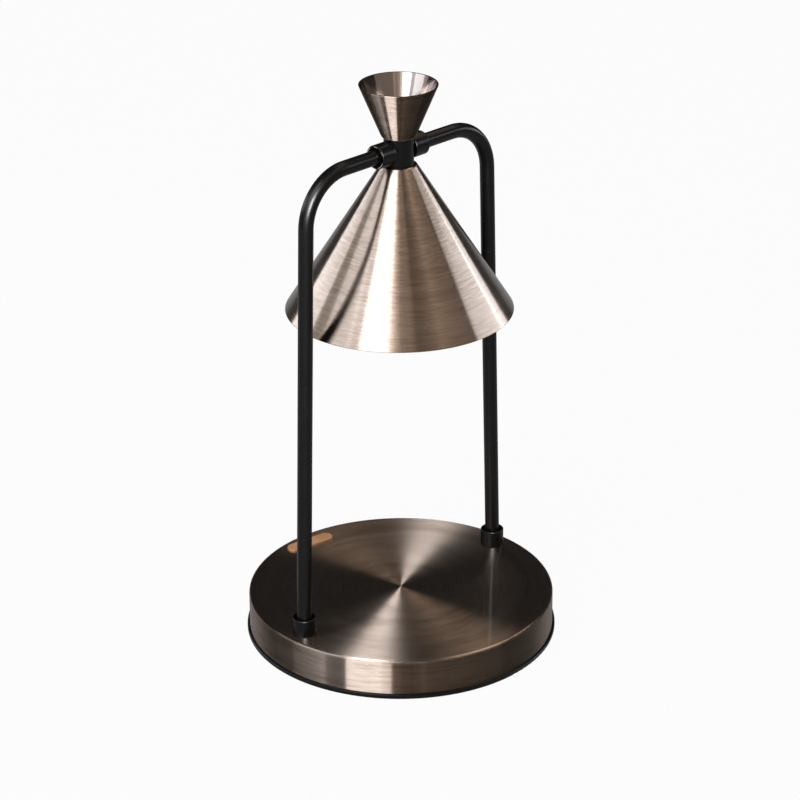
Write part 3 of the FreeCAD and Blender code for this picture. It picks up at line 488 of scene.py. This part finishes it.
paint(grained("washer_plastic", light=(0.03, 0.03, 0.03), dark=(0.02, 0.02, 0.02),
              roughness=0.5, grains=2000.0, depth=6e-6), "friction_washer")
paint(grained("block_plastic", light=(0.78, 0.77, 0.72), dark=(0.70, 0.68, 0.62),
              roughness=0.4, grains=900.0, depth=6e-6), "terminal_block")
paint(grained("glass_fibre_sleeve", light=(0.62, 0.60, 0.55), dark=(0.48, 0.46, 0.42),
              roughness=0.8, grains=3000.0, depth=6e-5), "riser_leads", "head_leads")
paint(grained("steatite", light=(0.80, 0.78, 0.72), dark=(0.70, 0.67, 0.60),
              roughness=0.45, grains=1500.0, depth=1e-5), "lampholder", "bulb_base")
paint(faceted_mirror(), "bulb_reflector")
paint(clear_glass("clear_glass_lens", waves_per_metre=60.0, wave_height=2e-4), "bulb_lens")
paint(clear_glass("clear_glass_capsule", waves_per_metre=150.0, wave_height=4e-5), "bulb_capsule")


# ---- Parts grown by Geometry Nodes ----
GEOMETRY, MATERIAL = "NodeSocketGeometry", "NodeSocketMaterial"
COIL_STEPS, WIRE_SIDES = 16, 6
# How far the two straight wires stand off the coil's axis, in coil radii.
FAR_WIRE_OFF, NEAR_WIRE_OFF = 2.2, -1.2
PAD_SIDES, HOLE_SIDES, STUD_SIDES = 160, 32, 10
SCREW_HOLES, HOLE_TURN = 3, math.radians(30)
# The drills' length in pad heights.
DRILL_LENGTH_SHARE = 4.0
# A stud's length in stud heights, with the end that is sunk in the pad, and its tip in stud radii.
STUD_LENGTH_SHARE, STUD_TIP_SHARE = 1.2, 0.7


def new_growth(name, *sizes):
    """A Geometry Nodes tree with an input for each size and one for the material."""
    inputs = [(label, FLOAT, None) for label in sizes] + [("Material", MATERIAL, None)]
    return new_group(name, inputs, [("Mesh", GEOMETRY)], "GeometryNodeTree")


def joined(tree, shapes):
    """The shapes as one geometry."""
    made = add(tree, "GeometryNodeJoinGeometry")
    for shape in shapes:
        tree.links.new(shape, made.inputs[0])
    return made.outputs[0]


def end_growth(tree, into, out, *shapes):
    """Joins the shapes, makes their instances real and dresses them."""
    real = add(tree, "GeometryNodeRealizeInstances", {0: joined(tree, shapes)})
    dressed = add(tree, "GeometryNodeSetMaterial", {"Geometry": real.outputs[0],
                                                    "Material": into["Material"]})
    tree.links.new(dressed.outputs[0], out["Mesh"])
    return tree


def raised(tree, shape, height):
    """The shape, moved up."""
    offset = add(tree, "ShaderNodeCombineXYZ", {2: height}).outputs[0]
    return add(tree, "GeometryNodeTransform",
               {"Geometry": shape, "Translation": offset}).outputs[0]


def make_filament():
    """A close coil of wire between two straight wires that hold it."""
    tree, into, out = new_growth("filament_coil", "Coil Radius", "Coil Length", "Coil Bottom",
                                 "Turns", "Wire Radius", "Wires Top")
    radius, bottom, top = into["Coil Radius"], into["Coil Bottom"], into["Wires Top"]
    coil = add(tree, "GeometryNodeCurveSpiral", {
        "Resolution": COIL_STEPS, "Rotations": into["Turns"], "Start Radius": radius,
        "End Radius": radius, "Height": into["Coil Length"]}).outputs[0]
    wires = [raised(tree, coil, bottom)]
    coil_top = reckon(tree, "ADD", bottom, into["Coil Length"])
    far, near = times(tree, radius, FAR_WIRE_OFF), times(tree, radius, NEAR_WIRE_OFF)
    coil_end = times(tree, radius, -1.0)
    for ends in (((radius, bottom), (far, bottom)), ((far, bottom), (far, top)),
                 ((coil_end, coil_top), (near, top))):
        start, end = (add(tree, "ShaderNodeCombineXYZ", {0: x, 2: z}).outputs[0] for x, z in ends)
        wires.append(add(tree, "GeometryNodeCurvePrimitiveLine", {"Start": start, "End": end},
                         mode="POINTS").outputs[0])
    profile = add(tree, "GeometryNodeCurvePrimitiveCircle", {"Resolution": WIRE_SIDES,
                                                             "Radius": into["Wire Radius"]})
    round_wire = add(tree, "GeometryNodeCurveToMesh", {
        "Curve": joined(tree, wires), "Profile Curve": profile.outputs[0], "Fill Caps": True})
    return end_growth(tree, into, out, round_wire.outputs[0])


def make_grip_pad():
    """A round pad with screw holes and rows of small studs under it, clear of rim and holes."""
    tree, into, out = new_growth("studded_grip_pad", "Pad Radius", "Pad Top", "Stud Height",
                                 "Stud Radius", "Stud Pitch", "Hole Radius", "Hole Circle",
                                 "Clear Margin")
    pad_radius, pad_top, hole_radius = into["Pad Radius"], into["Pad Top"], into["Hole Radius"]
    plate_height = reckon(tree, "SUBTRACT", pad_top, into["Stud Height"])
    plate = add(tree, "GeometryNodeMeshCylinder", {
        "Vertices": PAD_SIDES, "Radius": pad_radius, "Depth": plate_height}).outputs[0]
    plate = raised(tree, plate, reckon(tree, "SUBTRACT", pad_top, times(tree, plate_height, 0.5)))
    ring = add(tree, "GeometryNodeMeshCircle", {"Vertices": SCREW_HOLES,
                                                "Radius": into["Hole Circle"]}).outputs[0]
    ring = add(tree, "GeometryNodeTransform", {"Geometry": ring,
                                               "Rotation": (0, 0, HOLE_TURN)}).outputs[0]
    drill = add(tree, "GeometryNodeMeshCylinder", {
        "Vertices": HOLE_SIDES, "Radius": hole_radius,
        "Depth": times(tree, pad_top, DRILL_LENGTH_SHARE)}).outputs[0]
    drills = add(tree, "GeometryNodeInstanceOnPoints", {"Points": ring, "Instance": drill})
    drills = add(tree, "GeometryNodeRealizeInstances", {0: drills.outputs[0]})
    drilled = add(tree, "GeometryNodeMeshBoolean", {0: plate, 1: drills.outputs[0]},
                  operation="DIFFERENCE").outputs[0]
    span = times(tree, pad_radius, 2.0)
    rows = reckon(tree, "FLOOR", reckon(tree, "DIVIDE", span, into["Stud Pitch"]))
    places = add(tree, "GeometryNodeMeshGrid", {"Size X": span, "Size Y": span,
                                                "Vertices X": rows, "Vertices Y": rows}).outputs[0]
    here = add(tree, "GeometryNodeInputPosition").outputs[0]
    from_axis = reckon_vector(tree, "LENGTH", here, result="Value")
    to_hole = add(tree, "GeometryNodeProximity", {0: ring, "Source Position": here},
                  target_element="POINTS").outputs["Distance"]
    margin = into["Clear Margin"]
    near_rim = reckon(tree, "GREATER_THAN", from_axis, reckon(tree, "SUBTRACT", pad_radius, margin))
    near_hole = reckon(tree, "LESS_THAN", to_hole, reckon(tree, "ADD", hole_radius, margin))
    places = add(tree, "GeometryNodeDeleteGeometry", {
        "Geometry": places, "Selection": reckon(tree, "MAXIMUM", near_rim, near_hole)},
        domain="POINT").outputs[0]
    stud = add(tree, "GeometryNodeMeshCone", {
        "Vertices": STUD_SIDES, "Radius Top": into["Stud Radius"],
        "Radius Bottom": times(tree, into["Stud Radius"], STUD_TIP_SHARE),
        "Depth": times(tree, into["Stud Height"], STUD_LENGTH_SHARE)}).outputs[0]
    studs = add(tree, "GeometryNodeInstanceOnPoints", {"Points": places, "Instance": stud})
    return end_growth(tree, into, out, drilled, studs.outputs[0])


def grow(name, tree, body, slot, material, replaced=(), **sizes):
    """A plain mesh from a Geometry Nodes tree, on its body; underscores in sizes are spaces."""
    piece = bpy.data.objects.new(name, bpy.data.meshes.new(name))
    scene.collection.objects.link(piece)
    modifier = piece.modifiers.new("growth", "NODES")
    modifier.node_group = tree
    values = {label.replace("_", " "): value for label, value in sizes.items()}
    values["Material"] = material
    for socket in tree.interface.items_tree:
        if socket.in_out == "INPUT":
            modifier[socket.identifier] = values[socket.name]
    evaluated = piece.evaluated_get(bpy.context.evaluated_depsgraph_get())
    mesh = bpy.data.meshes.new_from_object(evaluated)
    piece.modifiers.clear()
    piece.data = mesh
    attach(piece, body)
    if replaced:
        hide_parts(*replaced)


TUNGSTEN = grained("tungsten_wire", light=(0.42, 0.40, 0.38), dark=(0.30, 0.29, 0.28),
                   roughness=0.35, grains=6000.0, depth=2e-6, metallic=1.0, dust=0.0)
grow("bulb_filament", make_filament(), "bulb", "zinc_steel", TUNGSTEN,
     Coil_Radius=0.0009, Coil_Length=0.0058, Coil_Bottom=0.2145, Turns=16.5, Wire_Radius=0.00011,
     Wires_Top=0.2290)
RUBBER = parts["base_pad"].material_slots[0].material
grow("grip_pad", make_grip_pad(), "root", "rubber_pad", RUBBER, ["base_pad"],
     Pad_Radius=0.076, Pad_Top=0.001, Stud_Height=0.0004, Stud_Radius=0.0011, Stud_Pitch=0.0042,
     Hole_Radius=0.0034, Hole_Circle=0.062, Clear_Margin=0.0022)


# ---- Studio ----
FLOOR_RADIUS, FLOOR_SIDES = 8.0, 96
FLOOR_COLOUR, FLOOR_ROUGHNESS = (0.38, 0.38, 0.38, 1), 0.9
FLOOR_SEEN_WHITE, FLOOR_MIRRORED_WHITE = 0.96, 0.1
TENT_RADIUS, TENT_SEGMENTS, TENT_RINGS = 4.0, 48, 24
TENT_CLOTH, TENT_TINT, TENT_GLOW = (0.02, 0.02, 0.02, 1), (1, 0.97, 0.93, 1), 0.03
ROOM_LIGHT = 0.35
WHITE = (1, 1, 1, 1)
LIGHT_DISTANCE = 2.2
LIGHT_AIM = Vector((0, 0, 0.12))
CAMERA_HEADING = math.atan2(-CAMERA_PLACE.x, -CAMERA_PLACE.y)

PLAIN = (1.0, 1.0, 1.0)
COOL = (0.95, 1.0, 1.08)
WARM = (1.0, 0.84, 0.70)
EVERYTHING = ()
ARCH = ("left_leg_tube", "right_leg_tube", "left_foot_collar", "right_foot_collar",
        "left_hub_collar", "right_hub_collar")
BASE_TOP = ("base_shell", "badge_plate")
BELOW_CUP = tuple(name for name in parts if name not in ("upper_cone", "base_pad"))
BETWEEN_CUP_AND_BASE = tuple(name for name in BELOW_CUP if name != "base_shell")
FRONT_FADE = (1.1, 0.72, 0.5, 0.4, 0.34)
FRONT_FADE_START, FRONT_FADE_WIDTH = -10, 6
HIGHLIGHTS_ONLY = ("arch_box", "top_strip")

# Name; azimuth, elevation, width, height and roll in degrees; radiance; colour; what it lights.
# Azimuth 0 is the camera's side of the lamp, and a positive one lies to the camera's right.
SOFTBOXES = [
    ("key_softbox", -28.5, 48, 25, 40, 0, 5.8, COOL, EVERYTHING),
    ("key_left_panel", -49.5, 46, 15, 36, 0, 2.1, COOL, EVERYTHING),
    ("key_lower_box", -23.5, 16, 31, 24, 0, 2.4, COOL, EVERYTHING),
    ("left_fill", -70.5, 34, 27, 30, 0, 2.5, COOL, EVERYTHING),
    ("left_middle_fill", -94, 27, 19, 18, 0, 0.9, PLAIN, EVERYTHING),
    ("left_low_box", -114, 14, 30, 13, 20, 4.2, COOL, BETWEEN_CUP_AND_BASE),
    ("right_box", 107, 16, 46, 13, -20, 3.8, COOL, BETWEEN_CUP_AND_BASE),
    ("right_edge_strip", 119, 10, 1.4, 12, 0, 14.0, COOL, BETWEEN_CUP_AND_BASE)]
SOFTBOXES += [
    ("front_fade_%d" % step, FRONT_FADE_START + FRONT_FADE_WIDTH * step, 42, FRONT_FADE_WIDTH, 30,
     0, radiance, WARM, EVERYTHING) for step, radiance in enumerate(FRONT_FADE)]
SOFTBOXES += [
    ("right_fill", 47, 38, 60, 30, 0, 0.3, WARM, EVERYTHING),
    ("arch_box", 5, 24, 20, 24, 0, 85.0, PLAIN, ARCH),
    ("top_strip", -168.5, 59.3, 7, 15.8, -23, 22.0, COOL, BASE_TOP),
    ("back_high_box", 145, 56, 40, 24, 0, 1.4, WARM, BELOW_CUP),
    ("right_high_box", 75, 57, 40, 24, 0, 1.1, WARM, BELOW_CUP)]


def studio_direction(azimuth, elevation):
    """A direction from the lamp, in the degrees of the softbox list."""
    turn = CAMERA_HEADING + math.pi - math.radians(azimuth)
    rise = math.radians(elevation)
    level = math.cos(rise)
    return Vector((math.sin(turn) * level, math.cos(turn) * level, math.sin(rise)))


def light_only(light, names):
    """Lets a light fall on these parts alone."""
    receivers = bpy.data.collections.new(light.name + "_receivers")
    for name in names:
        receivers.objects.link(parts[name])
    light.light_linking.receiver_collection = receivers


def softbox(name, azimuth, elevation, width, height, roll, radiance, colour, lit):
    """A rectangular light that the lamp sees under width by height degrees."""
    data = bpy.data.lights.new(name, "AREA")
    data.shape = "RECTANGLE"
    data.size = 2 * LIGHT_DISTANCE * math.tan(math.radians(width / 2))
    data.size_y = 2 * LIGHT_DISTANCE * math.tan(math.radians(height / 2))
    data.energy = radiance * math.pi * data.size * data.size_y
    data.color = colour
    light = bpy.data.objects.new(name, data)
    scene.collection.objects.link(light)
    away = studio_direction(azimuth, elevation)
    light.location = LIGHT_AIM + away * LIGHT_DISTANCE
    light.rotation_mode = "QUATERNION"
    light.rotation_quaternion = Quaternion(away, math.radians(roll)) @ away.to_track_quat("Z", "Y")
    light.visible_camera = False
    if lit:
        light_only(light, lit)
    return light


def make_lights():
    """All the softboxes; two of them give highlights only, and the top strip casts no shadow."""
    lights = {row[0]: softbox(*row) for row in SOFTBOXES}
    for name in HIGHLIGHTS_ONLY:
        lights[name].visible_diffuse = False
    top_strip = lights["top_strip"].data
    top_strip.use_shadow = False
    top_strip.cycles.use_multiple_importance_sampling = False


def make_floor():
    """A large round pale floor, whiter where it is seen or mirrored, that keeps the shadow."""
    bpy.ops.mesh.primitive_circle_add(
        vertices=FLOOR_SIDES, radius=FLOOR_RADIUS, fill_type="NGON")
    floor = bpy.context.active_object
    floor.name = "studio_floor"
    material, tree, shader = new_finish(
        "floor_pale", Base_Color=FLOOR_COLOUR, Roughness=FLOOR_ROUGHNESS,
        Specular_IOR_Level=0.0)[:3]
    path = add(tree, "ShaderNodeLightPath").outputs
    mirrored = reckon(tree, "MAXIMUM", path["Is Glossy Ray"], path["Is Transmission Ray"])
    share = reckon(tree, "MULTIPLY_ADD", mirrored, FLOOR_MIRRORED_WHITE,
                   times(tree, path["Is Camera Ray"], FLOOR_SEEN_WHITE))
    white = add(tree, "ShaderNodeEmission", {"Color": WHITE, "Strength": 1.0})
    mixed = add(tree, "ShaderNodeMixShader", {
        0: share, 1: shader.outputs[0], 2: white.outputs[0]})
    fill(tree, tree.nodes["Material Output"], {"Surface": mixed.outputs[0]})
    floor.data.materials.append(material)


def make_dark_tent():
    """Dark cloth round the set, off camera, that only the metal mirrors between the softboxes."""
    bpy.ops.mesh.primitive_uv_sphere_add(
        segments=TENT_SEGMENTS, ring_count=TENT_RINGS, radius=TENT_RADIUS)
    tent = bpy.context.active_object
    tent.name = "dark_tent"
    tent.data.materials.append(new_finish(
        "tent_cloth", Base_Color=TENT_CLOTH, Roughness=1.0, Specular_IOR_Level=0.0,
        Emission_Color=TENT_TINT, Emission_Strength=TENT_GLOW)[0])
    for kind in ("camera", "diffuse", "transmission", "shadow", "volume_scatter"):
        setattr(tent, "visible_" + kind, False)


def make_room():
    """White for the camera and whatever mirrors or shows it, and a plain level for the rest."""
    world = bpy.data.worlds.new("studio")
    scene.world = world
    world.use_nodes = True
    tree = world.node_tree
    path = add(tree, "ShaderNodeLightPath").outputs
    seen = reckon(tree, "MAXIMUM", path["Is Camera Ray"],
                  reckon(tree, "MAXIMUM", path["Is Glossy Ray"], path["Is Transmission Ray"]))
    fill(tree, tree.nodes["Background"],
         {"Color": WHITE, "Strength": ramp(tree, seen, 0.0, 1.0, ROOM_LIGHT, 1.0)})


make_room()
make_floor()
make_dark_tent()
make_lights()
make_camera()
scene.view_settings.view_transform = "Standard"
